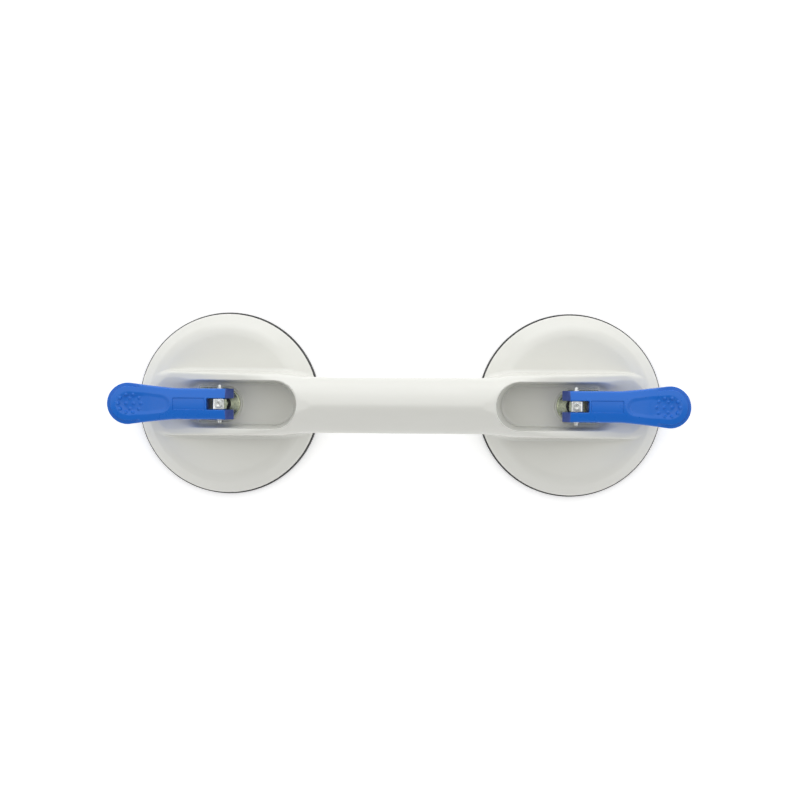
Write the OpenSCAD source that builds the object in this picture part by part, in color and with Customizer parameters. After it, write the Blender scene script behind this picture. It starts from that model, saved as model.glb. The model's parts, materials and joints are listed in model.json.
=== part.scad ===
// Suction grab bar: one moulded handle with a suction head at each end. In each head a cam lever
// pulls a stud, and the stud lifts the middle of a rubber pad off the wall to make the vacuum.
// Origin: centre of the plane that the two pads stick to. +X runs along the grip, +Z away from the wall.

/* [Handle] */
// Distance between the axes of the two suction heads
cup_spacing = 222; // [220:1:240]
// Width of the grip bar
grip_w = 34.5; // [34:0.5:36]
// Height of the grip bar's section
grip_h = 25; // [24:0.5:26]
// Height of the grip's top above the wall
grip_top = 57; // [56.5:0.5:60]
// Wall thickness of the mouldings
wall = 2.8; // [2.5:0.1:3]

/* [Suction heads] */
// Diameter of each rubber pad
pad_d = 120; // [119:0.5:122]
// Height of the flat shoulder of each head
shoulder_z = 15.5; // [15:0.25:16]
// Diameter of the steel plate bonded into the pad
pad_plate_d = 52; // [48:1:54]
// How far the pull stud travels between the lever's two positions
stroke = 4.5; // [4.4:0.05:4.6]

/* [Levers] */
// Height of the pivot pin above the wall with the lever closed
pin_z = 34; // [34:0.1:34.5]
// Diameter of the pivot pin
pin_d = 3.6; // [3:0.2:4]
// Distance from the pin to the lever's tip
lever_reach = 69.5; // [66:0.5:70]
// Width of the lever over its fork
lever_w = 19.5; // [19:0.25:20]
// Angle that the lever opens through
lever_angle = 90; // [84:6:90]

/* [Hidden] */
$fn = 96;
cut = 0.5;              // how far a cutting shape runs past the surface it cuts
cup_x = cup_spacing / 2;

// Shared heights of each suction head, from the wall up
pad_lip_t = 3.6;        // pad thickness at its rim
pad_mid_t = 3;          // pad thickness at its middle
pad_lip_r = 50;         // where the flat sealing lip ends
pad_rise_r = 28;        // where the raised middle begins
pad_plate_z = stroke + pad_mid_t;
pad_plate_t = 2;
head_r = pad_d / 2 - 1.5;
rim_z = pad_lip_t + 0.05;
ceiling_z = shoulder_z - wall;
rib_z = 10.2;
floor_z = 18.5;         // pocket floor
floor_under_z = floor_z - wall;
seat_z = 19.8;          // raised seat under the bearing plate
bearing_t = 1.5;
bearing_z = seat_z + bearing_t;

// Ridges and arms, with u measured outwards from the head's axis
arm_w = 38;
ridge_out_u = 46;       // where each ridge starts at the shoulder's edge
rim_end_u = -51;        // where the pocket's rounded end meets the grip
rim_end_z = grip_top + 0.5;
pocket_r = 14;
pocket_end_u = rim_end_u + pocket_r + 1;
channel_u = 19;         // where the channel under the lever starts to fall away
arm_in_u = 56 - cup_x;
arch_u = 40 - cup_x;    // arch under the grip: centre and radii of its quarter ellipse
arch_z = 10;
arch_ru = 17;
grip_mid_z = grip_top - grip_h / 2;
arch_rz = grip_mid_z - grip_h / 2 - arch_z;

// Stud, bush and spring
shank_r = 3.3;
bush_r = 5.3;
bush_flange_r = 7.6;
bush_flange_t = 1.2;
bush_z = 11;
boss_r = 8.5;
eye_r = 5.8;
eye_w = 6.8;
spring_r = 11;
spring_wire_r = 0.65;
spring_turns = 3.5;

// Lever cam: its support distance falls evenly with the angle, so the stud drops evenly as the lever opens
cam_gap = 0.05;
cam_r0 = pin_z - bearing_z - cam_gap;
cam_k = stroke / (lever_angle * PI / 180);
cam_r1 = cam_r0 - stroke;
slot_w = 7.1;
slot_end_u = 7.6;
thumb_r = 13;
neck_u = 31;
pin_len = 24.4;

// Grip cover
split_z = 42;
cover_x = 46;
screw_xs = [-38, -12, 12, 38];
screw_r = 1.5;
screw_head_r = 2.8;
screw_head_z = 33.2;
screw_seat_z = 35;
boss_low_z = 38;

function smooth(t) = t <= 0 ? 0 : t >= 1 ? 1 : t * t * (3 - 2 * t);
function arch_point(t, grow = 0) = [arch_u + (arch_ru + grow) * cos(t), arch_z + (arch_rz + grow) * sin(t)];
function power(v, e) = sign(v) * pow(abs(v), e);
// A rounded oval between an ellipse and a rectangle
function oval(half_w, half_h, n = 2.4, steps = 48) = [for (i = [0:steps - 1])
    [half_w * power(cos(360 * i / steps), 2 / n), half_h * power(sin(360 * i / steps), 2 / n)]];
// Underside height of the pad at radius r, with its middle pulled up by rise
function pad_under(r, rise) = rise * smooth((pad_lip_r - r) / (pad_lip_r - pad_rise_r));

// Places a head's parts, drawn for the right-hand side, on either side
module at_cup(side) {
    mirror([side < 0 ? 1 : 0, 0, 0]) translate([cup_x, 0, 0]) children();
}

// A side outline in u and z, extruded to both sides of the centre plane
module side_slab(points, width) {
    rotate([90, 0, 0]) linear_extrude(height = width, center = true) polygon(points);
}

// The oval bar section, extruded along X
module grip_bar(half_w, half_h, length) {
    translate([0, 0, grip_mid_z]) rotate([90, 0, 90])
        linear_extrude(height = length, center = true) polygon(oval(half_w, half_h));
}

// ---- handle ----

module head_outer() {
    rotate_extrude() polygon([
        [0, rim_z], [head_r, rim_z], [head_r, rim_z + 1.4], [head_r - 0.8, 6.4],
        [51, shoulder_z - 2.2], [49.5, shoulder_z - 1.2], [47.5, shoulder_z - 0.4], [45, shoulder_z],
        [0, shoulder_z]
    ]);
}

module head_void() {
    rotate_extrude() polygon([
        [0, rim_z - cut], [head_r - wall, rim_z - cut], [head_r - wall, 5.2],
        [49, ceiling_z - 1.6], [44.5, ceiling_z], [0, ceiling_z]
    ]);
}

// Raised arm from the head up to the grip; its top line is the line of the two ridges
module arm_outer() {
    intersection() {
        side_slab([
            [ridge_out_u, shoulder_z], [rim_end_u, rim_end_z], [arm_in_u, rim_end_z],
            arch_point(acos((arm_in_u - arch_u) / arch_ru)),
            [arch_u + arch_ru, ceiling_z - 2], [ridge_out_u, ceiling_z - 2]
        ], arm_w);
        rotate([90, 0, 90]) linear_extrude(height = 4 * pad_d, center = true) union() {
            translate([0, grip_mid_z]) polygon(oval(arm_w / 2, grip_h / 2));
            translate([-arm_w / 2, 0]) square([arm_w, grip_mid_z]);
        }
    }
}

// Web between the underside of the grip and the head, hollowed out as an arch for the fingers
module arch_web() {
    side_slab(concat(
        [[arch_u - 2, grip_mid_z], [arm_in_u + 1, grip_mid_z]],
        [for (t = [10:10:90]) arch_point(t)],
        [[arch_u - 2, arch_z + arch_rz]]
    ), grip_w - 0.4);
}

// Long pocket that the lever sits in, open at its outer end
module pocket() {
    translate([pocket_end_u, 0, floor_z]) cylinder(r = pocket_r, h = grip_top);
    side_slab([
        [pocket_end_u, floor_z], [channel_u, floor_z], [ridge_out_u + 0.2, shoulder_z + 0.05],
        [pad_d / 2 + 2, shoulder_z + 0.05], [pad_d / 2 + 2, grip_top + cut], [pocket_end_u, grip_top + cut]
    ], 2 * pocket_r);
}

// D-shaped outline shared by the bearing plate and its seat
module d_shape(r, out_u) {
    circle(r = r);
    translate([0, -r]) square([out_u, 2 * r]);
}

module bearing_seat() {
    translate([0, 0, floor_z - 0.5]) linear_extrude(height = seat_z - floor_z + 0.5) d_shape(12.3, 18);
}

// Hollow under the pocket floor, where the spring sits
module spring_well() {
    translate([-44, -13, ceiling_z - cut]) cube([68, 26, floor_under_z - ceiling_z + cut]);
}

module stud_boss() {
    translate([0, 0, bush_z + bush_flange_t]) cylinder(r = boss_r, h = floor_z - bush_z - bush_flange_t);
}

module head_ribs() {
    for (i = [0:11]) rotate([0, 0, 15 + 30 * i])
        translate([31, -1, rib_z]) cube([16, 2, ceiling_z - rib_z + 1]);
}

// Room in the thick corner where the arm meets the grip
module arm_void() {
    side_slab(concat(
        [[arch_u + 4, grip_mid_z - 4], [arm_in_u + 1.5, grip_mid_z - 4]],
        [for (t = [45:10:75]) arch_point(t, 3)]
    ), 24);
}

module handle_body() {
    color([0.90, 0.90, 0.89]) difference() {
        union() {
            difference() {
                union() {
                    grip_bar(grip_w / 2, grip_h / 2, 2 * (arm_in_u + cup_x + 3));
                    for (side = [-1, 1]) at_cup(side) {
                        head_outer();
                        arm_outer();
                        arch_web();
                    }
                }
                grip_bar(grip_w / 2 - wall, grip_h / 2 - wall, 2 * (arm_in_u + cup_x + 1.2));
                translate([-cover_x - 0.1, -grip_w, 0]) cube([2 * cover_x + 0.2, 2 * grip_w, split_z + 0.1]);
                for (side = [-1, 1]) at_cup(side) {
                    head_void();
                    pocket();
                    spring_well();
                    arm_void();
                }
            }
            for (side = [-1, 1]) at_cup(side) {
                bearing_seat();
                stud_boss();
                head_ribs();
            }
            for (x = screw_xs) translate([x, 0, boss_low_z + 0.1])
                cylinder(r = 3.6, h = grip_top - wall / 2 - boss_low_z);
        }
        for (side = [-1, 1]) at_cup(side)
            translate([0, 0, ceiling_z - 2]) cylinder(r = bush_r + 0.02, h = seat_z);
        for (x = screw_xs) translate([x, 0, boss_low_z - cut]) cylinder(r = screw_r, h = 11);
    }
}

module grip_cover() {
    color([0.89, 0.89, 0.88]) difference() {
        union() {
            difference() {
                intersection() {
                    union() {
                        grip_bar(grip_w / 2, grip_h / 2, 2 * cover_x);
                        for (side = [-1, 1]) at_cup(side) arch_web();
                    }
                    translate([-cover_x, -grip_w, 0]) cube([2 * cover_x, 2 * grip_w, split_z]);
                }
                grip_bar(grip_w / 2 - wall, grip_h / 2 - wall, 2 * cover_x + 2);
            }
            for (x = screw_xs) translate([x, 0, grip_mid_z - grip_h / 2 + 1.5])
                cylinder(r = 4.6, h = boss_low_z - grip_mid_z + grip_h / 2 - 1.5);
            for (side = [-1, 1]) translate([-40, side * 12.7 - 0.8, split_z - 4]) cube([80, 1.6, 6]);
        }
        for (x = screw_xs) translate([x, 0, 0]) {
            cylinder(r = screw_head_r + 0.3, h = screw_seat_z);
            cylinder(r = screw_r + 0.2, h = boss_low_z + cut);
        }
    }
}

module cover_screw() {
    difference() {
        union() {
            translate([0, 0, screw_head_z]) cylinder(r = screw_head_r, h = screw_seat_z - screw_head_z);
            translate([0, 0, screw_seat_z - cut]) cylinder(r = screw_r, h = 12);
            translate([0, 0, screw_seat_z + 12 - cut]) cylinder(r1 = screw_r, r2 = 0.4, h = 1.4);
        }
        for (a = [0, 90]) rotate([0, 0, a]) translate([-1.6, -0.35, 0]) cube([3.2, 0.7, screw_head_z + 1.1]);
    }
}

module cover_screws() {
    color([0.62, 0.63, 0.65]) for (x = screw_xs) translate([x, 0, 0]) cover_screw();
}

// ---- one suction head ----

// Cam outline point for the direction that the lever turns down at opening angle a
function cam_point(a) = let (h = cam_r0 - cam_k * a * PI / 180)
    [-h * sin(a) + cam_k * cos(a), -h * cos(a) - cam_k * sin(a)];

function lever_half_w(u) = u < neck_u ? lever_w / 2
    : lever_w / 2 + (thumb_r - 0.6 - lever_w / 2) * smooth((u - neck_u) / (lever_reach - thumb_r - neck_u - 4));

function thumb_point(a) = [lever_reach - thumb_r + thumb_r * cos(a), thumb_r * sin(a)];

// Plan outline: a straight fork that flares into a round thumb end
module lever_plan() {
    us = [-cam_r1 - 1, neck_u, neck_u + 4, neck_u + 8, neck_u + 12, neck_u + 16, lever_reach - thumb_r - 4];
    polygon(concat(
        [for (u = us) [u, -lever_half_w(u)]],
        [for (a = [-90:10:90]) thumb_point(a)],
        [for (i = [len(us) - 1:-1:0]) [us[i], lever_half_w(us[i])]]
    ));
}

// Side outline about the pin: involute cam, end face, bevel, top, thumb end, underside and foot
lever_side = concat(
    [for (a = [0:6:lever_angle]) cam_point(a)],
    [[-cam_r1, 0.8], [-3.2, 5.5], [34, 5.5], [44, 5.9], [52, 6.8], [60, 7.8], [lever_reach - 3, 8],
     [lever_reach, 6], [lever_reach, 2], [lever_reach - 2, -0.5], [56, -2], [40, -4.5], [26, -7.2], [16, -9.2],
     [9, -cam_r0]]
);

lever_hollow = [[12, -20], [12, 1.6], [40, 1.8], [50, 2.6], [61, 3.4], [61, -20]];

module lever() {
    color([0.13, 0.36, 0.80]) translate([0, 0, pin_z]) difference() {
        intersection() {
            translate([0, 0, -20]) linear_extrude(height = 40) lever_plan();
            side_slab(lever_side, 2 * thumb_r + 2);
        }
        side_slab(lever_hollow, lever_w - 5.5);
        translate([-20, -slot_w / 2, -20]) cube([20 + slot_end_u, slot_w, 40]);
        rotate([90, 0, 0]) cylinder(r = pin_d / 2 + 0.05, h = lever_w + 2, center = true);
        translate([lever_reach - thumb_r, 0, 23]) sphere(r = 17.5);
        translate([12, -3.4, 5]) cube([18, 6.8, 1]);
    }
}

module pivot_pin() {
    color([0.75, 0.76, 0.77]) translate([0, 0, pin_z]) rotate([90, 0, 0]) {
        cylinder(r = pin_d / 2, h = pin_len - 1.2, center = true);
        for (side = [-1, 1]) mirror([0, 0, side < 0 ? 1 : 0]) translate([0, 0, pin_len / 2 - 0.6])
            cylinder(r1 = pin_d / 2, r2 = pin_d / 2 - 0.6, h = 0.6);
    }
}

// Shank with a welded collar below and a flat-topped eye for the pin above
module pull_stud() {
    color([0.72, 0.73, 0.74]) difference() {
        union() {
            translate([0, 0, pad_plate_z + pad_plate_t]) {
                cylinder(r = 7, h = 1);
                cylinder(r = shank_r, h = pin_z - pad_plate_z - pad_plate_t - 3);
            }
            intersection() {
                translate([0, 0, pin_z]) rotate([90, 0, 0]) cylinder(r = eye_r, h = eye_w, center = true);
                translate([-10, -10, 0]) cube([20, 20, pin_z + 4.8]);
            }
            translate([0, 0, pin_z]) cylinder(r = 1.5, h = 5.1);
        }
        translate([0, 0, pin_z]) rotate([90, 0, 0]) cylinder(r = pin_d / 2, h = eye_w + 2, center = true);
    }
}

module bearing_plate() {
    color([0.66, 0.68, 0.64]) translate([0, 0, seat_z]) linear_extrude(height = bearing_t) difference() {
        d_shape(11, 16);
        circle(r = shank_r + 0.6);
    }
}

module guide_bush() {
    color([0.30, 0.31, 0.32]) translate([0, 0, bush_z]) difference() {
        union() {
            cylinder(r = bush_flange_r, h = bush_flange_t);
            cylinder(r = bush_r, h = seat_z - bush_z);
        }
        translate([0, 0, -cut]) cylinder(r = shank_r + 0.05, h = seat_z);
    }
}

// Compression spring between the pad plate and the underside of the pocket floor
function spring_centre(t, low, high) =
    [spring_r * cos(360 * t), spring_r * sin(360 * t), low + (high - low) * smooth(t / spring_turns)];

module return_spring() {
    low = pad_plate_z + pad_plate_t + spring_wire_r + 0.02;
    high = floor_under_z - spring_wire_r - 0.02;
    sides = 8;
    steps = 84;
    points = [for (i = [0:steps], j = [0:sides - 1])
        let (t = spring_turns * i / steps, c = spring_centre(t, low, high), a = 360 * j / sides,
             out = spring_wire_r * cos(a))
        [c[0] + out * cos(360 * t), c[1] + out * sin(360 * t), c[2] + spring_wire_r * sin(a)]];
    walls = [for (i = [0:steps - 1], j = [0:sides - 1])
        let (a = i * sides + j, b = i * sides + (j + 1) % sides)
        [a, a + sides, b + sides, b]];
    color([0.55, 0.56, 0.58]) polyhedron(points, concat(walls,
        [[for (j = [0:sides - 1]) j], [for (j = [sides - 1:-1:0]) steps * sides + j]]));
}

module pad_plate() {
    color([0.60, 0.61, 0.62]) translate([0, 0, pad_plate_z]) difference() {
        cylinder(r = pad_plate_d / 2, h = pad_plate_t);
        for (i = [0:5]) rotate([0, 0, 60 * i]) translate([19, 0, -cut]) cylinder(r = 2, h = pad_plate_t + 1);
    }
}

// Rubber disc with a flat sealing lip and a raised middle, drawn with the stud pulled up
module suction_pad() {
    rs = [for (i = [0:11]) pad_rise_r + (pad_lip_r - pad_rise_r) * i / 11];
    outer = pad_d / 2;
    color([0.05, 0.05, 0.055]) rotate_extrude() polygon(concat(
        [[0, stroke]],
        [for (r = rs) [r, pad_under(r, stroke)]],
        [[outer - 0.3, 0], [outer, 0.3], [outer, pad_lip_t - 1], [outer - 1, pad_lip_t]],
        [for (i = [11:-1:0]) [rs[i], pad_under(rs[i], stroke)
            + pad_mid_t + (pad_lip_t - pad_mid_t) * smooth((rs[i] - pad_rise_r) / (pad_lip_r - pad_rise_r))]],
        [[0, stroke + pad_mid_t]]
    ));
}

handle_body();
grip_cover();
cover_screws();
at_cup(-1) lever();  // left_lever
at_cup(-1) pivot_pin();  // left_pivot_pin
at_cup(-1) pull_stud();  // left_pull_stud
at_cup(-1) bearing_plate();  // left_bearing_plate
at_cup(-1) guide_bush();  // left_guide_bush
at_cup(-1) return_spring();  // left_return_spring
at_cup(-1) pad_plate();  // left_pad_plate
at_cup(-1) suction_pad();  // left_suction_pad
at_cup(1) lever();  // right_lever
at_cup(1) pivot_pin();  // right_pivot_pin
at_cup(1) pull_stud();  // right_pull_stud
at_cup(1) bearing_plate();  // right_bearing_plate
at_cup(1) guide_bush();  // right_guide_bush
at_cup(1) return_spring();  // right_return_spring
at_cup(1) pad_plate();  // right_pad_plate
at_cup(1) suction_pad();  // right_suction_pad
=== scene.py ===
"""Looks of the suction grab bar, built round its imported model.

The moulded parts are smooth implicit shapes: a function gives the signed distance to the surface in
millimetres, negative inside, and surface() turns its zero level into a mesh of quads.
"""

import json
import math

import bpy
import numpy as np
from mathutils import Matrix, Vector


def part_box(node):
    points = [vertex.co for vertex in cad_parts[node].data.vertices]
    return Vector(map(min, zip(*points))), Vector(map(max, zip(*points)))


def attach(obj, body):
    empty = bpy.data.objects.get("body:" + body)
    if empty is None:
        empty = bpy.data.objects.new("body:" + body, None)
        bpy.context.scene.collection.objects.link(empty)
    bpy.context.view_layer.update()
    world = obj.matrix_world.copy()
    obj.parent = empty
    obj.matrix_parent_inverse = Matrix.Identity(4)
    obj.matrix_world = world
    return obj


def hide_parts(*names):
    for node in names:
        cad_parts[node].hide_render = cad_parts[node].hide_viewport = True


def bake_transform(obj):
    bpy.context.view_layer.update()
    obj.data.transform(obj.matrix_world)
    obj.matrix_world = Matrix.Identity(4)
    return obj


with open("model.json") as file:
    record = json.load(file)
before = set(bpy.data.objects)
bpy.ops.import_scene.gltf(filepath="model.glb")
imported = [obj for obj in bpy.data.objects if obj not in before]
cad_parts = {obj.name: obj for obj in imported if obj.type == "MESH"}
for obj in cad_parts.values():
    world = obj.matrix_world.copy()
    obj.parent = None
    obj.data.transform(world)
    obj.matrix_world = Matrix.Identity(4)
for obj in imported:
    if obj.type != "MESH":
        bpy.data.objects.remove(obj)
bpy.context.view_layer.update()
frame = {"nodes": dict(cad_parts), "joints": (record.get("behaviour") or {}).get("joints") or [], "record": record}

MM = 0.001


# ---- sizes, in millimetres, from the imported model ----

def span(node):
    """Lowest and highest corner of a CAD node in millimetres."""
    low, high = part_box(node)
    return np.array(low) / MM, np.array(high) / MM


def joint_point(name):
    """Where a hinge's axis is, in millimetres."""
    return np.array(next(j["pos_m"] for j in frame["joints"] if j["name"] == name)) / MM


PAD_LOW, PAD_HIGH = span("right_suction_pad")
CUP_X = (PAD_LOW[0] + PAD_HIGH[0]) / 2
PAD_R = (PAD_HIGH[0] - PAD_LOW[0]) / 2
BODY_LOW, BODY_HIGH = span("handle_body")
RIM_Z = BODY_LOW[2]
GRIP_TOP = BODY_HIGH[2]
HEAD_R = BODY_HIGH[1]
COVER_LOW, COVER_HIGH = span("grip_cover")
GRIP_BOTTOM = COVER_LOW[2]
PIN_Z = joint_point("right_lever_hinge")[2]
LEVER_LOW, LEVER_HIGH = span("right_lever")
TIP_U = LEVER_HIGH[0] - CUP_X
FORK_U = LEVER_LOW[0] - CUP_X
FOOT_Z = LEVER_LOW[2] - PIN_Z
PLATE_LOW, PLATE_HIGH = span("right_bearing_plate")
STUD_LOW = span("right_pull_stud")[0]
PIN_LOW, PIN_HIGH = span("right_pivot_pin")
SPRING_LOW, SPRING_HIGH = span("right_return_spring")
PAD_MID_T, PAD_LIP_T = 3.0, 3.6
STROKE = PAD_HIGH[2] - PAD_MID_T
PIN_R = (PIN_HIGH[2] - PIN_LOW[2]) / 2


# ---- implicit shapes ----

def smooth(t):
    """0 below 0, 1 above 1, and an S between."""
    t = np.clip(t, 0, 1)
    return t * t * (3 - 2 * t)


def mix(a, b, t):
    return a + (b - a) * t


def both(a, b, r):
    """The part that shapes a and b share, with its edge rounded to radius r."""
    return np.minimum(-r, np.maximum(a, b)) + np.hypot(np.maximum(a + r, 0), np.maximum(b + r, 0))


def either(a, b, r):
    """Shapes a and b joined, with the corner between them filled to radius r."""
    return -both(-a, -b, r)


def minus(a, b, r):
    """Shape a with b cut away, the cut's edge rounded to radius r."""
    return both(a, -b, r)


def line(u, z, at, slope_deg):
    """Signed distance above a sloping line through the point at = (u, z); it falls as u grows."""
    s = math.radians(slope_deg)
    return (u - at[0]) * math.sin(s) + (z - at[1]) * math.cos(s)


def oval(y, z, half_w, half_h, n=2.4):
    """Distance to an oval between an ellipse and a rectangle."""
    a = np.abs(y) / half_w + 1e-6
    b = np.abs(z) / half_h + 1e-6
    q = a ** n + b ** n
    slope = q ** (1 / n - 1) * np.hypot(a ** (n - 1) / half_w, b ** (n - 1) / half_h)
    return (q ** (1 / n) - 1) / slope


def tapered(u, y, u0, r0, u1, r1):
    """Distance to the outline round two circles on the line y = 0."""
    t = np.clip((u - u0) / (u1 - u0), 0, 1)
    return np.hypot(u - mix(u0, u1, t), y) - mix(r0, r1, t)


def planes(first, *runs):
    """Grid planes from first on: each run is (where it ends, its largest step)."""
    out = [first]
    for end, step in runs:
        count = max(1, math.ceil((end - out[-1]) / step))
        out += list(np.linspace(out[-1], end, count + 1)[1:])
    return np.array(out, float)


SETTLING_STEPS = 5


def crossings(value, grid, axis):
    """Grid edges along an axis that cross the surface: starts, crossing points, and if each starts inside."""
    inside = value < 0
    near = tuple(slice(None, -1) if i == axis else slice(None) for i in range(3))
    far = tuple(slice(1, None) if i == axis else slice(None) for i in range(3))
    edge = np.argwhere(inside[near] != inside[far])
    end = edge.copy()
    end[:, axis] += 1
    a, b = tuple(edge.T), tuple(end.T)
    point = np.stack([grid[i][edge[:, i]] for i in range(3)], 1)
    share = value[a] / (value[a] - value[b])
    point[:, axis] += share * (grid[axis][end[:, axis]] - grid[axis][edge[:, axis]])
    return edge, point, inside[a]


def surface(shape, xs, ys, zs):
    """Points, normals and quads of the surface where shape(x, y, z) is 0.

    Each grid cell that the surface crosses gets one point (surface nets), which is then moved onto it.
    """
    grid = (xs, ys, zs)
    value = shape(*np.meshgrid(xs, ys, zs, indexing="ij"))
    cells = np.array(value.shape) - 1
    total = np.zeros((*cells, 3))
    count = np.zeros(cells)
    rings = []
    for axis in range(3):
        others = [i for i in range(3) if i != axis]
        edge, point, starts_inside = crossings(value, grid, axis)
        ring, whole = [], np.ones(len(edge), bool)
        for step in ((0, 0), (-1, 0), (-1, -1), (0, -1)):
            cell = edge.copy()
            cell[:, others] += step
            fits = ((cell >= 0) & (cell < cells)).all(1)
            whole &= fits
            at = tuple(cell[fits].T)
            np.add.at(total, at, point[fits])
            np.add.at(count, at, 1)
            ring.append(cell)
        ring = np.stack(ring, 1)
        flip = starts_inside if axis == 1 else ~starts_inside
        ring[flip] = ring[flip][:, ::-1]
        rings.append(ring[whole])
    used = count > 0
    number = np.full(cells, -1)
    number[used] = np.arange(used.sum())
    quads = number[tuple(np.moveaxis(np.concatenate(rings), -1, 0))]
    smallest = np.min([np.diff(g).min() for g in grid])
    points, normals = settled(shape, total[used] / count[used][:, None], smallest)
    return points, normals, quads


def settled(shape, points, longest):
    """Points moved onto the surface in steps no longer than longest, and the surface's normals there."""
    for _ in range(SETTLING_STEPS):
        level, slope = levelled(shape, points)
        step = level[:, None] * slope / np.maximum((slope ** 2).sum(1), 0.05)[:, None]
        reach = np.linalg.norm(step, axis=1)
        points -= step * np.minimum(1, longest / np.maximum(reach, 1e-9))[:, None]
    slope = levelled(shape, points)[1]
    return points, slope / np.linalg.norm(slope, axis=1)[:, None]


def levelled(shape, points, eps=0.02):
    """A shape's value and slope at points."""
    x, y, z = points.T
    slope = np.stack([
        shape(x + eps, y, z) - shape(x - eps, y, z),
        shape(x, y + eps, z) - shape(x, y - eps, z),
        shape(x, y, z + eps) - shape(x, y, z - eps),
    ], 1) / (2 * eps)
    return shape(x, y, z), slope


def mirrored(points, normals, quads, axis, snap=1e-4):
    """Adds the mirror image in the plane where that coordinate is 0, sharing the points on it."""
    on_seam = np.abs(points[:, axis]) < snap
    points[on_seam, axis] = 0
    normals[on_seam, axis] = 0
    keep = ~on_seam
    other = np.where(on_seam, np.arange(len(points)), len(points) + np.cumsum(keep) - 1)
    sign = np.ones(3)
    sign[axis] = -1
    return (
        np.vstack([points, points[keep] * sign]),
        np.vstack([normals, normals[keep] * sign]),
        np.vstack([quads, other[quads][:, ::-1]]),
    )


# ---- meshes ----

def make_piece(name, points, faces, body, material, normals=None):
    """A smooth-shaded mesh object from points in millimetres, riding on a CAD body."""
    mesh = bpy.data.meshes.new(name)
    if isinstance(faces, np.ndarray):
        faces = faces.tolist()
    mesh.from_pydata((np.asarray(points) * MM).tolist(), [], faces)
    mesh.validate()
    mesh.polygons.foreach_set("use_smooth", [True] * len(mesh.polygons))
    if normals is not None:
        unit = normals / np.linalg.norm(normals, axis=1)[:, None]
        mesh.normals_split_custom_set_from_vertices(unit.tolist())
    mesh.materials.append(material)
    piece = bpy.data.objects.new(name, mesh)
    bpy.context.scene.collection.objects.link(piece)
    if body:
        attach(piece, body)
    return piece


def lathe(profile, steps):
    """Points and faces of a profile of (r, z) turned about the Z axis; an end on the axis closes it."""
    points, rings = [], []
    for r, z in profile:
        if r < 1e-6:
            rings.append([len(points)] * steps)
            points.append((0, 0, z))
        else:
            rings.append(list(range(len(points), len(points) + steps)))
            points += [(r * math.cos(2 * math.pi * i / steps), r * math.sin(2 * math.pi * i / steps), z)
                       for i in range(steps)]
    faces = []
    for low, high in zip(rings, rings[1:]):
        for i in range(steps):
            j = (i + 1) % steps
            face = [low[i], low[j], high[j], high[i]]
            faces.append([v for k, v in enumerate(face) if v != face[k - 1]])
    return np.array(points, float), faces


def rounded(corners, steps):
    """A profile with its corners rounded: each corner is (r, z) or (r, z, radius)."""
    out = []
    for i, corner in enumerate(corners):
        p = np.array(corner[:2], float)
        radius = corner[2] if len(corner) > 2 else 0
        if radius == 0:
            out.append(tuple(p))
            continue
        before = np.array(corners[i - 1][:2], float) - p
        after = np.array(corners[(i + 1) % len(corners)][:2], float) - p
        before /= np.linalg.norm(before)
        after /= np.linalg.norm(after)
        half = math.acos(max(-1, min(1, float(before @ after)))) / 2
        reach = radius / math.tan(half)
        centre = p + (before + after) / np.linalg.norm(before + after) * radius / math.sin(half)
        start, stop = p + before * reach, p + after * reach
        for t in np.linspace(0, 1, steps):
            way = mix(start, stop, t) - centre
            out.append(tuple(centre + way / np.linalg.norm(way) * radius))
    return out


def placed(points, x=0.0, z=0.0):
    return np.asarray(points, float) + np.array([x, 0, z])


def turned_to_y(points):
    """Turns points drawn about the Z axis to lie about the Y axis."""
    x, y, z = np.asarray(points, float).T
    return np.stack([x, -z, y], 1)


def side_points(points, side):
    """Mirrors points drawn for the right-hand head to the left-hand one."""
    return np.asarray(points, float) * np.array([side, 1, 1])


def side_faces(faces, side):
    if side > 0:
        return faces
    return faces[:, ::-1].copy() if isinstance(faces, np.ndarray) else [f[::-1] for f in faces]


# ---- shapes of the moulded and turned parts, in millimetres, for the right-hand side ----

WALL = 2.8
SHOULDER_Z = 15.5
SHOULDER_R = 48.5
SHOULDER_SLOPE = 44.5
BAR_W = 17.25
BAR_MID = (GRIP_TOP + GRIP_BOTTOM) / 2
BAR_H = (GRIP_TOP - GRIP_BOTTOM) / 2
RIDGE_W = 19.0
RIDGE_OUT = 46.0
RIM_END = -51.0
RIM_END_Z = GRIP_TOP + 0.5
RIDGE_SLOPE = math.degrees(math.atan2(RIM_END_Z - SHOULDER_Z, RIDGE_OUT - RIM_END))
ARCH_X, ARCH_Z, ARCH_RX = 40.0, 10.0, 17.0
FLOOR_Z = 18.5
FLOOR_HALF, RIM_HALF = 13.4, 15.0
END_DRAFT = 4.4
CHANNEL_U, CHANNEL_HALF = 17.0, 9.5
CHANNEL_END_Z = 14.8
SPLIT_Z = 42.0
COVER_X = COVER_HIGH[0]
COVER_GAP = 0.15
SCREW_XS = (12.0, 38.0)
SCREW_R, SCREW_TOP, SCREW_PASS_R = 1.5, 49, 1.7
SCREW_HEAD_R, SCREW_HEAD_TOP = 3.1, 35
BUSH_R = 5.3
# Each of these inner blocks: its radius, and its middle and half its height along Z.
BOSS_R, BOSS_MID, BOSS_HALF = 8.5, 15.2, 3
POST_R, POST_MID, POST_HALF = 3.6, 46.6, 8.5
FOOT_R, FOOT_MID, FOOT_HALF = 4.6, 35.7, 2.3
# The seat under a bearing plate: its radius, how far its tongue reaches, and its middle and half its height.
SEAT_R, SEAT_OUT, SEAT_MID, SEAT_HALF = 11.5, 16.5, 18.2, 1.6
# The cover's two upstanding lips: the middle and half the thickness across Y, and the same along Z.
LIP_Y, LIP_HALF_Y, LIP_MID, LIP_HALF_Z = 12.7, 0.8, 41, 3


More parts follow.
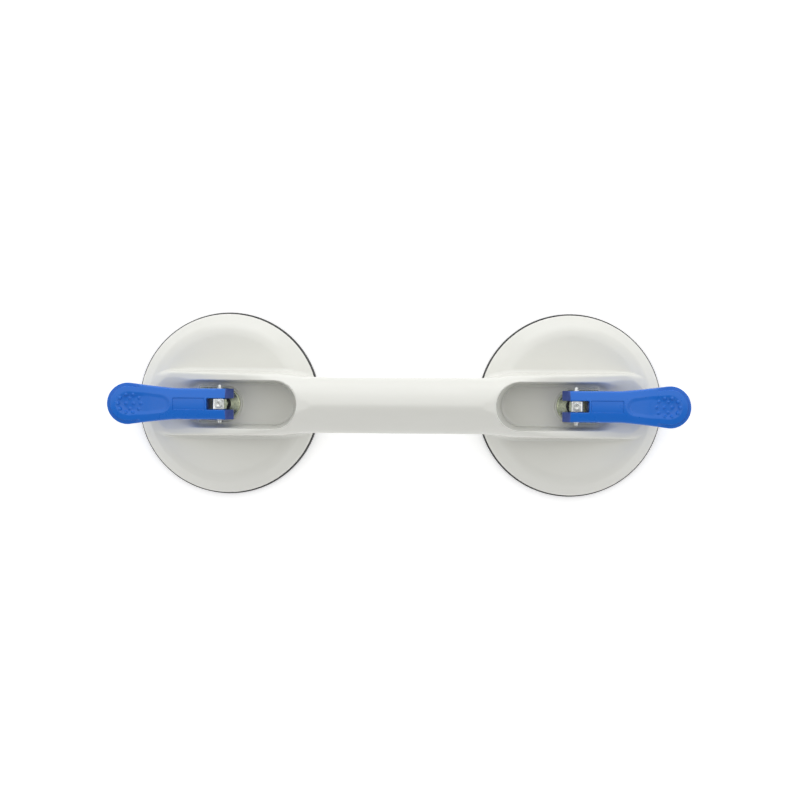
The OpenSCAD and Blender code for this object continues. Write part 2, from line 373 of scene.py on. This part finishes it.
def d_shape(u, y, r, out_u):
    """Plan distance to a half-circle that runs on as a square-ended tongue."""
    return both(np.where(u < 0, np.hypot(u, y), np.abs(y)) - r, u - out_u, 1.0)


def head_form(r, z):
    """A head's flat shoulder, its brow and its rim, r being the distance from the head's axis."""
    brow = line(r, z, (SHOULDER_R, SHOULDER_Z), SHOULDER_SLOPE)
    return both(both(z - SHOULDER_Z, brow, 3.2), r - HEAD_R, 1.2)


def arm_form(ax, ay, z):
    """The grip, the ridge that runs on from it over each head, and the arch under them."""
    u = ax - CUP_X
    half_w = mix(BAR_W, RIDGE_W, smooth((ax - 56) / 20))
    bar = oval(ay, z - BAR_MID, half_w, BAR_H)
    web = ay - half_w - 0.07 * (BAR_MID - z) * smooth((ax - 52) / 20)
    section = np.where(z > BAR_MID, bar, mix(bar, web, smooth((ax - 36) / 14)))
    out = np.where(u > 0, np.hypot(u, ay), ay)
    brow = both(line(out, z, (SHOULDER_R, SHOULDER_Z), SHOULDER_SLOPE), out - HEAD_R, 1.2)
    ridge = both(line(u, z, (RIDGE_OUT, SHOULDER_Z), RIDGE_SLOPE), brow, 3)
    arm = both(section, ridge, 1.8 + 3 * smooth((z - 49) / 7) + 2 * smooth((u - 33) / 8))
    across = np.maximum(ax - ARCH_X, 0) / ARCH_RX
    up = np.maximum(z - ARCH_Z, 0) / (GRIP_BOTTOM - ARCH_Z)
    arch = (1 - np.hypot(across, up)) * 20 - 0.15 * np.maximum(ARCH_X - ax, 0)
    return both(arm, arch, 2.5)


def pocket_form(u, ay, z, ease):
    """A lever's pocket: a round end towards the grip, leaning walls, and a floor that falls outwards."""
    floor = mix(FLOOR_Z, CHANNEL_END_Z, smooth((u - CHANNEL_U) / (RIDGE_OUT - CHANNEL_U)))
    ridge_z = SHOULDER_Z + (RIDGE_OUT - u) * math.tan(math.radians(RIDGE_SLOPE))
    rise = np.clip((z - floor) / np.maximum(ridge_z - floor, 3.5), -1, 1.6)
    end = RIM_END + RIM_HALF + END_DRAFT * (1 - rise)
    floor_half = mix(FLOOR_HALF, CHANNEL_HALF, smooth((u - 14) / 10))
    side = np.where(u < end, np.hypot(u - end, ay), ay) - mix(floor_half, RIM_HALF, rise)
    return both(side, floor - z, 1.4 + 2.2 * ease)


def handle_form(x, y, z):
    """The handle's outer form with its two lever pockets, solid, running on below the rim."""
    ax, ay = np.abs(x), np.abs(y)
    u = ax - CUP_X
    fillet = 0.3 + 2.2 * smooth((RIDGE_OUT + 2 - u) / 30)
    form = either(head_form(np.hypot(u, ay), z), arm_form(ax, ay, z), fillet)
    ease = smooth((u - 18) / 14)
    return minus(form, pocket_form(u, ay, z, ease), 0.6 + 1.6 * ease)


def handle_shell(x, y, z):
    """The form hollowed out from below to an even wall."""
    form = handle_form(x, y, z)
    return minus(both(form, RIM_Z - z, 0.3), form + WALL, 0.4)


def screw_post(x, y, r):
    """Plan distance to the nearest of the cover's screw posts."""
    ax = np.abs(x)
    return np.minimum(*(np.hypot(ax - sx, y) for sx in SCREW_XS)) - r


def cover_zone(x, z, gap):
    """The space of the grip's lower shell, grown by gap."""
    return both(np.abs(x) - COVER_X - gap, z - SPLIT_Z - gap, 0.3)


def handle_shape(x, y, z):
    """The handle: the shell, the plates' seats, the bushes' bosses and the posts for the cover's screws."""
    u = np.abs(x) - CUP_X
    r = np.hypot(u, y)
    shell = minus(handle_shell(x, y, z), cover_zone(x, z, COVER_GAP), 0.3)
    seat = both(d_shape(u, y, SEAT_R, SEAT_OUT), np.abs(z - SEAT_MID) - SEAT_HALF, 0.3)
    boss = both(r - BOSS_R, np.abs(z - BOSS_MID) - BOSS_HALF, 0.3)
    post = both(screw_post(x, y, POST_R), np.abs(z - POST_MID) - POST_HALF, 0.3)
    shell = np.minimum(either(shell, seat, 0.4), np.minimum(boss, post))
    hole = both(screw_post(x, y, SCREW_R), z - SCREW_TOP, 0.2)
    return minus(minus(shell, r - BUSH_R, 0.3), hole, 0.2)


def cover_shape(x, y, z):
    """The grip's lower shell, with a foot round each screw and two lips that reach up into the handle."""
    shell = both(handle_shell(x, y, z), cover_zone(x, z, 0), 0.3)
    foot = both(screw_post(x, y, FOOT_R), np.abs(z - FOOT_MID) - FOOT_HALF, 0.3)
    lip = both(np.abs(np.abs(y) - LIP_Y) - LIP_HALF_Y, np.abs(z - LIP_MID) - LIP_HALF_Z, 0.3)
    lip = both(lip, np.abs(x) - COVER_X + 6, 0.3)
    shell = np.minimum(shell, np.minimum(foot, lip))
    head_room = both(screw_post(x, y, SCREW_HEAD_R), z - SCREW_HEAD_TOP, 0.2)
    return minus(minus(shell, head_room, 0.3), screw_post(x, y, SCREW_PASS_R), 0.2)


THUMB_R, THUMB_L = LEVER_HIGH[1], 11.9
THUMB_U = TIP_U - THUMB_L
FLARE_U, FLARE_END, FLARE_W = 27.0, THUMB_U - 2, THUMB_R - 0.18
FORK_W = 9.7
CREST, CROWN = 5.5, 1.9
EDGE_ROUND = 1.1
LEVER_WALL = 2.75
LEDGE_IN, LEDGE_DOWN = 2.1, 0.9
PIN_CLEARANCE = 0.05
PANEL_U, PANEL_HALF_U, PANEL_HALF_V, PANEL_DOWN = 18.7, 9.9, 3.75, 0.45
SLOT_W, SLOT_END = 3.55, 7.6
DISH_TAIL_U, DISH_TAIL_R, DISH_R = 36.6, 6.3, 8.9
# Each of the two bevels behind the pin: how far back it starts, its height there and its slope.
TIP_BEVELS = ((1.4, 5.5, 7), (3.9, 4.9, 58))
CAM_ANGLES = np.radians(np.arange(0, 91, 3))
BUMP_R, BUMP_SUNK = 1.1, 0.45
# Each ring of bumps in the dish: its radius along the lever and across it, and how many bumps.
BUMP_RINGS = ((7.0, 5.95, 10), (2.3, 3.3, 4))
CAM_K = STROKE / (math.pi / 2)


def lever_half(u):
    """Half the width of the lever up to its thumb end."""
    return mix(FORK_W, FLARE_W, np.clip((u - FLARE_U) / (FLARE_END - FLARE_U), 0, 1) ** 1.25)


def lever_crest(u):
    """Height of the lever's top along its middle, without the thumb dish."""
    return CREST - 0.8 * smooth((u - 30) / 15) + 2.8 * smooth((u - 44) / 26)


def lever_top(u, v):
    """Height of the lever's crowned top."""
    return lever_crest(u) - CROWN * (v / lever_half(u)) ** 2


def lever_plan(u, v):
    """Plan distance to the lever's outline, its fork's end aside."""
    tip = (np.hypot((u - THUMB_U) / THUMB_L, v / THUMB_R) - 1) * THUMB_L
    return np.where(u < FLARE_END, v - lever_half(u), tip)


def dish_parts(u, v):
    """Plan distance to the thumb dish's outline, the height of its floor, and the radius between them."""
    side = tapered(u, v, DISH_TAIL_U, DISH_TAIL_R, THUMB_U - 1.6, DISH_R)
    deep = smooth((u - 45) / 11)
    return side, lever_crest(u) - 0.95 - 0.95 * deep, 3.0 + 3.0 * deep


def dish_level(u, v):
    """Height of the dish's surface, its rounded foot included."""
    side, floor, fillet = dish_parts(u, v)
    foot = np.clip(side + fillet, 0, 0.9 * fillet)
    return floor + fillet - np.sqrt(fillet ** 2 - foot ** 2)


def lever_block(u, v, w):
    """The lever's outer form: crowned top, bevelled tips, curved underside and the cam round the pin."""
    bevel = both(*(line(-u, w, (back, high), slope) for back, high, slope in TIP_BEVELS), 0.5)
    under = (-0.3 + FOOT_Z * np.exp((9 - np.maximum(u, 9)) / 21) - w) * 0.93
    cam = np.max([-u * math.sin(a) - w * math.cos(a) + FOOT_Z + CAM_K * a for a in CAM_ANGLES], 0)
    sides = both(lever_plan(u, v), w - lever_top(u, v), EDGE_ROUND)
    block = both(both(sides, bevel, 0.4), FORK_U - u, 0.2)
    return both(block, both(under, cam, 0.5), 0.3)


def hollowed(lever, u, v, w):
    """Cuts the ledge round the thumb end, the hollow underneath, the fork's slot and the pin's hole."""
    plan = lever_plan(u, v)
    lean = 0.2 * np.clip(plan, -LEDGE_IN, 0)
    fade = 4 * (1 - smooth((u - 44) / 9))
    ledge_w = lever_top(u, v) - LEDGE_DOWN + lean + fade
    lever = minus(lever, both(-LEDGE_IN - plan, ledge_w - w, 0.1), 0.3)
    roof = 1.4 + 1.1 * smooth((u - 44) / 18)
    hollow = both(both(plan + LEVER_WALL, 12 - u, 2), w - roof, 1.2)
    slot = both(v - SLOT_W, u - SLOT_END, 0.4)
    lever = minus(minus(lever, hollow, 0.4), slot, 0.45)
    return minus(lever, np.hypot(u, w) - PIN_R - PIN_CLEARANCE, 0.25)


def bumped(lever, u, y, w):
    """Adds the rings of round bumps in the thumb dish."""
    for ring_u, ring_v, count in BUMP_RINGS:
        for i in range(count):
            a = 2 * math.pi * i / count
            bu, bv = THUMB_U - 1.7 + ring_u * math.cos(a), ring_v * math.sin(a)
            near = np.hypot(u - bu, y - bv)
            bump = np.hypot(near, w - dish_level(bu, abs(bv)) + BUMP_SUNK) - BUMP_R
            lever = np.where(near < 2.5, either(lever, bump, 0.35), lever)
    return lever


def lever_shape(u, y, w):
    """The right-hand lever, with u outwards and w upwards from its pin."""
    v = np.abs(y)
    lever = hollowed(lever_block(u, v, w), u, v, w)
    dish_side, dish_floor, fillet = dish_parts(u, v)
    dish = both(dish_side, dish_floor - w, fillet)
    outline = both(np.abs(u - PANEL_U) - PANEL_HALF_U, v - PANEL_HALF_V, 0.3)
    panel = both(outline, lever_top(u, v) - PANEL_DOWN - w, 0.1)
    lever = minus(minus(lever, dish, 0.8), panel, 0.12)
    return bumped(lever, u, y, w)


EYE_R, EYE_HALF_U, EYE_HALF_Y, EYE_TOP = 5.8, 3.7, 3.4, 4.8
PIP_R, PIP_TOP = 2.3, 5.1
DIMPLE_R, DIMPLE_MID = 1.2, 5.7
SHANK_R, COLLAR_R, COLLAR_HALF = 3.3, 7, 0.5


def stud_shape(u, y, w):
    """The pull stud, with w upwards from its pin."""
    r = np.hypot(u, y)
    foot = STUD_LOW[2] - PIN_Z
    eye = both(both(np.hypot(u, w) - EYE_R, np.abs(u - 0.2) - EYE_HALF_U, 0.8), np.abs(y) - EYE_HALF_Y, 0.6)
    eye = both(eye, w - EYE_TOP, 0.5)
    pip = both(r - PIP_R, w - PIP_TOP, 0.2)
    shank = both(r - SHANK_R, np.abs(w - foot / 2) + foot / 2, 0.3)
    collar = both(r - COLLAR_R, np.abs(w - foot - COLLAR_HALF) - COLLAR_HALF, 0.3)
    neck = both(either(eye, shank, 0.8), np.abs(y) - EYE_HALF_Y, 0.3)
    stud = either(np.where(w > 2, eye, neck), collar, 0.5)
    stud = np.where(w > 2, either(stud, pip, 0.2), stud)
    stud = minus(stud, np.hypot(r, w - DIMPLE_MID) - DIMPLE_R, 0.2)
    return minus(stud, np.hypot(u, w) - PIN_R, 0.2)


PLATE_HOLE_R = 4.4


def bearing_plate_shape(u, y, z):
    """The D-shaped plate that the cam bears on."""
    mid, half = (PLATE_LOW[2] + PLATE_HIGH[2]) / 2, (PLATE_HIGH[2] - PLATE_LOW[2]) / 2
    plate = both(d_shape(u, y, PLATE_HIGH[1] - 0.6, PLATE_HIGH[0] - CUP_X), np.abs(z - mid) - half, 0.8)
    return minus(plate, np.hypot(u, y) - PLATE_HOLE_R, 0.2)


# ---- materials ----

class Nodes:
    """A new Principled material and short ways to add nodes to it."""

    def __init__(self, name):
        self.material = bpy.data.materials.new(name)
        self.material.use_nodes = True
        self.tree = self.material.node_tree
        self.shader = next(n for n in self.tree.nodes if n.type == "BSDF_PRINCIPLED")
        self.where = self.add("ShaderNodeTexCoord").outputs["Object"]

    def add(self, kind, inputs=None, **settings):
        node = self.tree.nodes.new(kind)
        for key, value in settings.items():
            setattr(node, key, value)
        for key, value in (inputs or {}).items():
            self.put(value, node.inputs[key])
        return node

    def put(self, value, socket):
        """Sets a socket to a value, or links it to another socket."""
        if isinstance(value, bpy.types.NodeSocket):
            self.tree.links.new(value, socket)
        else:
            socket.default_value = value

    def set(self, **values):
        for key, value in values.items():
            self.put(value, self.shader.inputs[key.replace("_", " ")])

    def noise(self, scale, detail=4.0, roughness=0.55, where=None):
        node = self.add("ShaderNodeTexNoise", {"Scale": scale, "Detail": detail, "Roughness": roughness})
        self.put(where or self.where, node.inputs["Vector"])
        return node.outputs["Fac"]

    def stretched(self, factors):
        """The object's coordinates, squeezed along each axis by its factor."""
        return self.add("ShaderNodeVectorMath", {0: self.where, 1: factors}, operation="MULTIPLY").outputs[0]

    def ramp(self, value, low, high, to_low, to_high):
        """A value moved from the range low to high into the range to_low to to_high."""
        node = self.add("ShaderNodeMapRange", {
            "Value": value, "From Min": low, "From Max": high, "To Min": to_low, "To Max": to_high,
        })
        return node.outputs["Result"]

    def colours(self, value, stops):
        node = self.add("ShaderNodeValToRGB", {"Fac": value})
        elements = node.color_ramp.elements
        while len(elements) < len(stops):
            elements.new(0.5)
        for element, (position, colour) in zip(elements, stops):
            element.position = position
            element.color = (*colour, 1)
        return node.outputs["Color"]

    def bump(self, height, distance, strength=1.0, normal=None):
        """A bump of that many metres; it stacks on another bump's normal."""
        node = self.add("ShaderNodeBump", {"Strength": strength, "Distance": distance, "Height": height})
        if normal is not None:
            self.put(normal, node.inputs["Normal"])
        return node.outputs["Normal"]

    def maths(self, operation, a, b):
        return self.add("ShaderNodeMath", {0: a, 1: b}, operation=operation).outputs[0]


def plastic(name, colour, shade, gloss, grain):
    """Moulded plastic: faint flow marks in its colour, a fine grain, and edges polished by handling."""
    m = Nodes(name)
    flow = m.noise(1, 5, 0.6, m.stretched((30, 90, 60)))
    m.set(Base_Color=m.colours(flow, ((0.3, shade), (0.7, colour))))
    worn = m.ramp(m.add("ShaderNodeNewGeometry").outputs["Pointiness"], 0.52, 0.6, 0, 0.06)
    smears = m.ramp(m.noise(55, 6, 0.6), 0.35, 0.7, gloss[0], gloss[1])
    m.set(Roughness=m.maths("SUBTRACT", smears, worn))
    waves = m.bump(m.noise(60, 2, 0.5), 0.0001, 0.15)
    m.set(Normal=m.bump(m.noise(2600, 3, 0.6), 0.00004, grain, waves))
    m.set(IOR=1.5, Specular_IOR_Level=0.5)
    return m


def white_plastic():
    m = plastic("white_plastic", (0.785, 0.785, 0.74), (0.77, 0.77, 0.722), (0.21, 0.27), 0.2)
    m.set(Coat_Weight=0.15, Coat_Roughness=0.12)
    return m.material


def blue_plastic():
    """The levers' plastic, with painted shade over the fork's tips, whose faces turn away from the light."""
    m = plastic("blue_plastic", (0.004, 0.15, 0.65), (0.003, 0.138, 0.61), (0.26, 0.34), 0.4)
    # Painted shade: more than 4 mm inward of the pin, over the fork's tips, the blue gives way to a dark navy that
    # stands in for the shade on those faces.
    across = m.add("ShaderNodeSeparateXYZ", {0: m.where}).outputs["X"]
    edge = (CUP_X - 4.0) * MM
    tip_painted_shade = m.ramp(m.maths("ABSOLUTE", across, 0.0), edge - 0.0002, edge + 0.0002, 1, 0)
    blue = m.shader.inputs["Base Color"].links[0].from_socket
    grey = m.colours(m.noise(300, 5), ((0.3, (0.035, 0.07, 0.27)), (0.7, (0.065, 0.11, 0.42))))
    mixed = m.add("ShaderNodeMix", {"Factor": tip_painted_shade}, data_type="RGBA")
    m.put(blue, mixed.inputs["A"])
    m.put(grey, mixed.inputs["B"])
    m.set(Base_Color=mixed.outputs["Result"])
    return m.material


def black_rubber():
    """Moulded rubber with a dusty bloom that is patchy."""
    m = Nodes("black_rubber")
    bloom = m.noise(120, 6, 0.65)
    m.set(Base_Color=m.colours(bloom, ((0.35, (0.012, 0.012, 0.013)), (0.75, (0.034, 0.034, 0.035)))))
    m.set(Roughness=m.ramp(bloom, 0.3, 0.7, 0.42, 0.62))
    m.set(Normal=m.bump(m.noise(1800, 3, 0.6), 0.00005, 0.5), Specular_IOR_Level=0.4)
    return m.material


def metal(name, colour, shade, roughness, axis=None, lay=0.4):
    """Plated or turned steel: fine tool marks along or round an axis, and a cloudy sheen."""
    m = Nodes(name)
    cloud = m.noise(260, 5, 0.6)
    m.set(Metallic=1.0, Base_Color=m.colours(cloud, ((0.3, shade), (0.7, colour))))
    m.set(Roughness=m.ramp(m.noise(700, 4, 0.6), 0.3, 0.7, roughness * 0.75, roughness * 1.25))
    factors = [3500, 3500, 3500]
    if axis is not None:
        factors[axis] = 90
    m.set(Normal=m.bump(m.noise(1, 3, 0.6, m.stretched(tuple(factors))), 0.00003, lay))
    return m.material


def grey_nylon():
    m = plastic("grey_nylon", (0.09, 0.09, 0.095), (0.07, 0.07, 0.075), (0.45, 0.6), 0.8)
    return m.material


def floor_paper():
    """Pale matt studio paper."""
    m = Nodes("floor_paper")
    m.set(Base_Color=m.colours(m.noise(40, 4), ((0.3, (0.93, 0.93, 0.93)), (0.7, (0.95, 0.95, 0.95)))))
    m.set(Roughness=0.9, Specular_IOR_Level=0.1, Emission_Color=(1, 1, 1, 1), Emission_Strength=0.36)
    return m.material


MATERIALS = {
    "white_plastic": white_plastic(),
    "blue_plastic": blue_plastic(),
    "black_rubber": black_rubber(),
    "zinc_steel": metal("zinc_steel", (0.70, 0.735, 0.53), (0.36, 0.40, 0.29), 0.27, 0),
    "bright_steel": metal("bright_steel", (0.92, 0.94, 0.92), (0.50, 0.52, 0.51), 0.2, 1),
    "spring_steel": metal("spring_steel", (0.42, 0.42, 0.43), (0.3, 0.3, 0.32), 0.3),
    "screw_steel": metal("screw_steel", (0.6, 0.6, 0.61), (0.5, 0.5, 0.52), 0.3),
    "grey_nylon": grey_nylon(),
}


# ---- pieces ----

def moulding(name, shape, xs, ys, zs, slot, body, node, side=1, quarter=True, at=(0, 0, 0)):
    """A piece from an implicit shape that is the same on both sides of y = 0, and of x = 0 if quarter."""
    points, normals, quads = mirrored(*surface(shape, xs, ys, zs), 1)
    if quarter:
        points, normals, quads = mirrored(points, normals, quads, 0)
    points = side_points(points + np.array(at), side)
    normals = side_points(normals, side)
    piece = make_piece(name, points, side_faces(quads, side), body, MATERIALS[slot], normals)
    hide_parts(node)
    return piece


def handle_pieces():
    """The handle and its cover; their grids are finer at the rim, the pockets' walls and the joint."""
    xs = planes(-1.4, (1.4, 2.8), (44.5, 2.8), (47.5, 0.5), (58, 1.4), (80, 0.7), (150, 1.5), (171, 1.2))
    ys = planes(-0.6, (0.6, 1.2), (12, 1.2), (20.5, 0.62), (24, 0.9), (60, 1.9))
    zs = planes(RIM_Z - 0.1, (RIM_Z + 0.1, 0.2), (RIM_Z + 0.6, 0.5), (13.8, 1.15), (20.4, 0.8), (41.2, 1.1),
                (42.8, 0.4), (58, 0.9))
    moulding("handle_moulding", handle_shape, xs, ys, zs, "white_plastic", "handle", "handle_body")
    xs = planes(-0.6, (0.6, 1.2), (44.5, 1.0), (46.8, 0.4))
    ys = planes(-0.4, (0.4, 0.8), (18.4, 0.7))
    zs = planes(28.4, (40.8, 0.8), (44.6, 0.4))
    moulding("grip_cover_moulding", cover_shape, xs, ys, zs, "white_plastic", "handle", "grip_cover")


def lever_piece(side, name):
    """A lever; its grid is finest round the thumb dish and its bumps."""
    xs = planes(-8.4, (46, 0.5), (67, 0.38), (70.1, 0.4))
    ys = planes(-0.19, (0.19, 0.38), (9, 0.38), (13.6, 0.45))
    zs = planes(-13.2, (1, 0.6), (8.6, 0.38))
    moulding(name + "_lever_moulding", lever_shape, xs, ys, zs, "blue_plastic", name + "_lever_arm",
             name + "_lever", side, False, (CUP_X, 0, PIN_Z))


def stud_piece(side, name):
    xs = planes(-7.4, (7.4, 0.3))
    ys = planes(-0.15, (0.15, 0.3), (7.4, 0.3))
    zs = planes(STUD_LOW[2] - PIN_Z - 0.2, (5.5, 0.3))
    moulding(name + "_stud_turned", stud_shape, xs, ys, zs, "bright_steel", name + "_stud",
             name + "_pull_stud", side, False, (CUP_X, 0, PIN_Z))


def bearing_plate_piece(side, name):
    xs = planes(-11.4, (16.4, 0.4))
    ys = planes(-0.2, (0.2, 0.4), (11.4, 0.4))
    zs = planes(PLATE_LOW[2] - 0.1, (PLATE_HIGH[2] + 0.1, 0.22))
    moulding(name + "_bearing_plate_pressed", bearing_plate_shape, xs, ys, zs, "zinc_steel", "handle",
             name + "_bearing_plate", side, False, (CUP_X, 0, 0))


PIN_END_R, PIN_END_L = 1.35, 2.0


def pin_piece(side, name):
    """The pivot pin, with a narrower domed length at each end."""
    half = PIN_HIGH[1]
    neck = half - PIN_END_L
    profile = rounded([
        (0, -half), (PIN_END_R, -half, 0.9), (PIN_END_R, -neck - 0.3, 0.2), (PIN_R, -neck, 0.2),
        (PIN_R, neck, 0.2), (PIN_END_R, neck + 0.3, 0.2), (PIN_END_R, half, 0.9), (0, half),
    ], 8)
    points, faces = lathe(profile, 48)
    points = placed(turned_to_y(points), CUP_X, PIN_Z)
    piece = make_piece(name + "_pin_headed", side_points(points, side), side_faces(faces, side),
                       name + "_stud", MATERIALS["bright_steel"])
    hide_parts(name + "_pivot_pin")


LIP_R, RISE_R = 50.0, 28.0
EDGE_R = PAD_R - 0.5
LIP_UP = 0.7
GROOVE_RS = (51.5, 53.6, 55.7)


def pad_profile():
    """The pad from its middle's underside out to the lip, up round the head's rim and back over the top."""
    def under(r):
        return STROKE * float(smooth((LIP_R - r) / (LIP_R - RISE_R)))

    def thick(r):
        return mix(PAD_MID_T, PAD_LIP_T, float(smooth((r - RISE_R) / (LIP_R - RISE_R))))

    inner = [(r, under(r)) for r in np.linspace(0, LIP_R, 26)]
    ribs = []
    for groove_r in GROOVE_RS:
        ribs += [(groove_r, 0, 0.1), (groove_r + 0.25, 0.45, 0.15), (groove_r + 0.85, 0.45, 0.15),
                 (groove_r + 1.1, 0, 0.1)]
    edge = [(EDGE_R - 0.5, 0, 0.3), (EDGE_R, 0.9, 0.5), (HEAD_R + 0.5, PAD_LIP_T + LIP_UP, 0.15),
            (HEAD_R + 0.05, PAD_LIP_T + LIP_UP, 0.05), (HEAD_R + 0.05, PAD_LIP_T, 0.1)]
    over = [(r, under(r) + thick(r)) for r in np.linspace(LIP_R, 0, 26)]
    return rounded(inner + ribs + edge + over, 4)


def pad_piece(side, name):
    points, faces = lathe(pad_profile(), 192)
    points = placed(points, CUP_X)
    piece = make_piece(name + "_pad_rubber", side_points(points, side), side_faces(faces, side), None,
                       MATERIALS["black_rubber"])
    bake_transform(piece)
    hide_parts(name + "_suction_pad")


SPRING_TURNS, WIRE_R = 3.5, 0.65
SPRING_STEPS, WIRE_SIDES = 220, 12


def coil(radius, low, high):
    """Points and faces of a coil from low to high, its end turns lying flatter."""
    points, faces = [], []
    for i in range(SPRING_STEPS + 1):
        t = SPRING_TURNS * i / SPRING_STEPS
        a = 2 * math.pi * t
        z = mix(low, high, float(smooth(t / SPRING_TURNS)))
        for j in range(WIRE_SIDES):
            b = 2 * math.pi * j / WIRE_SIDES
            r = radius + WIRE_R * math.cos(b)
            points.append((r * math.cos(a), r * math.sin(a), z + WIRE_R * math.sin(b)))
    for i in range(SPRING_STEPS):
        for j in range(WIRE_SIDES):
            k, m = i * WIRE_SIDES, (j + 1) % WIRE_SIDES
            faces.append([k + j, k + WIRE_SIDES + j, k + WIRE_SIDES + m, k + m])
    last = SPRING_STEPS * WIRE_SIDES
    faces += [list(range(WIRE_SIDES)), [last + j for j in reversed(range(WIRE_SIDES))]]
    return points, faces


def spring_piece(side, name):
    """A coil from the return spring's lower end up to its upper end under the head."""
    low, high = SPRING_LOW[2] + WIRE_R, SPRING_HIGH[2] - WIRE_R
    points, faces = coil(SPRING_HIGH[0] - CUP_X - WIRE_R, low, high)
    rest = placed(points, CUP_X)
    piece = make_piece(name + "_spring_coil", side_points(rest, side), side_faces(faces, side), None,
                       MATERIALS["spring_steel"])
    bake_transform(piece)
    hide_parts(name + "_return_spring")


def finish_cad_nodes():
    """Gives the CAD nodes that still show the materials of their slots."""
    slots = {s["node"]: s["material_slot"] for s in frame["record"]["subparts"]}
    for node, obj in frame["nodes"].items():
        if not obj.hide_render:
            for slot in obj.material_slots:
                slot.material = MATERIALS[slots[node]]


# ---- camera, floor and light ----

# The camera's place and target in metres, and its lens in millimetres, fitted to the outline in the photo.
CAMERA_PLACE = (0.0216, 0.0132, 0.6841)
CAMERA_TARGET = (0.0008, 0.0028, 0)
CAMERA_UP = (-0.007, 1, 0)
LENS, SENSOR = 46.96, 36

WALL_LEVEL = 0.74
# Each lobe of the surround: its direction, its inner and outer angle in degrees, and how much it adds to
# the surround's strength there. A negative one darkens.
WALL_LOBES = (
    ((0, 0.5, 0.87), 12, 50, 0.38), ((0, -0.5, 0.87), 4, 46, -0.5), ((0, -0.85, 0.53), 4, 22, 0.3),
    ((-0.5, 0.1, 0.86), 6, 26, 0.45), ((0.5, 0.1, 0.86), 6, 26, 0.45), ((0, 0, 1), 3, 15, -0.3),
)

# In metres: the floor's half size, how far it lies below the pads, and the softbox; its power is in watts.
STAGE_HALF, STAGE_DROP = 3.0, 0.0002
SOFTBOX_PLACE, SOFTBOX_SIZE, SOFTBOX_POWER = (0, 1.45, 0.5), (1.6, 1.0), 5


def camera():
    """The photo's camera, looking down at the object."""
    data = bpy.data.cameras.new("camera")
    data.lens = LENS
    data.sensor_width = SENSOR
    data.clip_start, data.clip_end = 0.05, 20
    cam = bpy.data.objects.new("camera", data)
    bpy.context.scene.collection.objects.link(cam)
    place = Vector(CAMERA_PLACE)
    back = (place - Vector(CAMERA_TARGET)).normalized()
    right = Vector(CAMERA_UP).cross(back).normalized()
    up = back.cross(right)
    rows = [[right[i], up[i], back[i], place[i]] for i in range(3)]
    cam.matrix_world = Matrix(rows + [[0, 0, 0, 1]])
    bpy.context.scene.camera = cam


def studio_walls():
    """A white surround with lighter and darker lobes, which the glossy parts mirror."""
    world = bpy.data.worlds.new("studio")
    world.use_nodes = True
    tree = world.node_tree
    background = next(n for n in tree.nodes if n.type == "BACKGROUND")
    direction = tree.nodes.new("ShaderNodeTexCoord").outputs["Generated"]
    strength = None
    for toward, inner, outer, amount in WALL_LOBES:
        dot = tree.nodes.new("ShaderNodeVectorMath")
        dot.operation = "DOT_PRODUCT"
        tree.links.new(direction, dot.inputs[0])
        dot.inputs[1].default_value = Vector(toward).normalized()
        lobe = tree.nodes.new("ShaderNodeMapRange")
        lobe.interpolation_type = "SMOOTHSTEP"
        tree.links.new(dot.outputs["Value"], lobe.inputs["Value"])
        lobe.inputs["From Min"].default_value = math.cos(math.radians(outer))
        lobe.inputs["From Max"].default_value = math.cos(math.radians(inner))
        lobe.inputs["To Max"].default_value = amount
        total = tree.nodes.new("ShaderNodeMath")
        tree.links.new(lobe.outputs["Result"], total.inputs[0])
        total.inputs[1].default_value = WALL_LEVEL
        if strength is not None:
            tree.links.new(strength, total.inputs[1])
        strength = total.outputs[0]
    tree.links.new(strength, background.inputs["Strength"])
    background.inputs["Color"].default_value = (1, 1, 1, 1)
    bpy.context.scene.world = world


def stage():
    """A plain pale floor, the surround and one softbox."""
    mesh = bpy.data.meshes.new("floor")
    s, z = STAGE_HALF, -STAGE_DROP
    mesh.from_pydata([(-s, -s, z), (s, -s, z), (s, s, z), (-s, s, z)], [], [[0, 1, 2, 3]])
    mesh.materials.append(floor_paper())
    floor = bpy.data.objects.new("floor", mesh)
    bpy.context.scene.collection.objects.link(floor)

    studio_walls()
    softbox()
    bpy.context.scene.view_settings.view_transform = "Standard"


def softbox():
    """A wide soft lamp beyond the grip, aimed at the object."""
    data = bpy.data.lights.new("softbox_top", "AREA")
    data.shape = "RECTANGLE"
    data.size, data.size_y = SOFTBOX_SIZE
    data.energy = SOFTBOX_POWER
    data.color = (0.97, 0.985, 1.0)
    light = bpy.data.objects.new("softbox_top", data)
    light.location = SOFTBOX_PLACE
    light.rotation_euler = (-Vector(SOFTBOX_PLACE)).to_track_quat("-Z", "Y").to_euler()
    bpy.context.scene.collection.objects.link(light)


camera()
handle_pieces()
for side, name in ((-1, "left"), (1, "right")):
    lever_piece(side, name)
    stud_piece(side, name)
    bearing_plate_piece(side, name)
    pin_piece(side, name)
    pad_piece(side, name)
    spring_piece(side, name)
finish_cad_nodes()
stage()
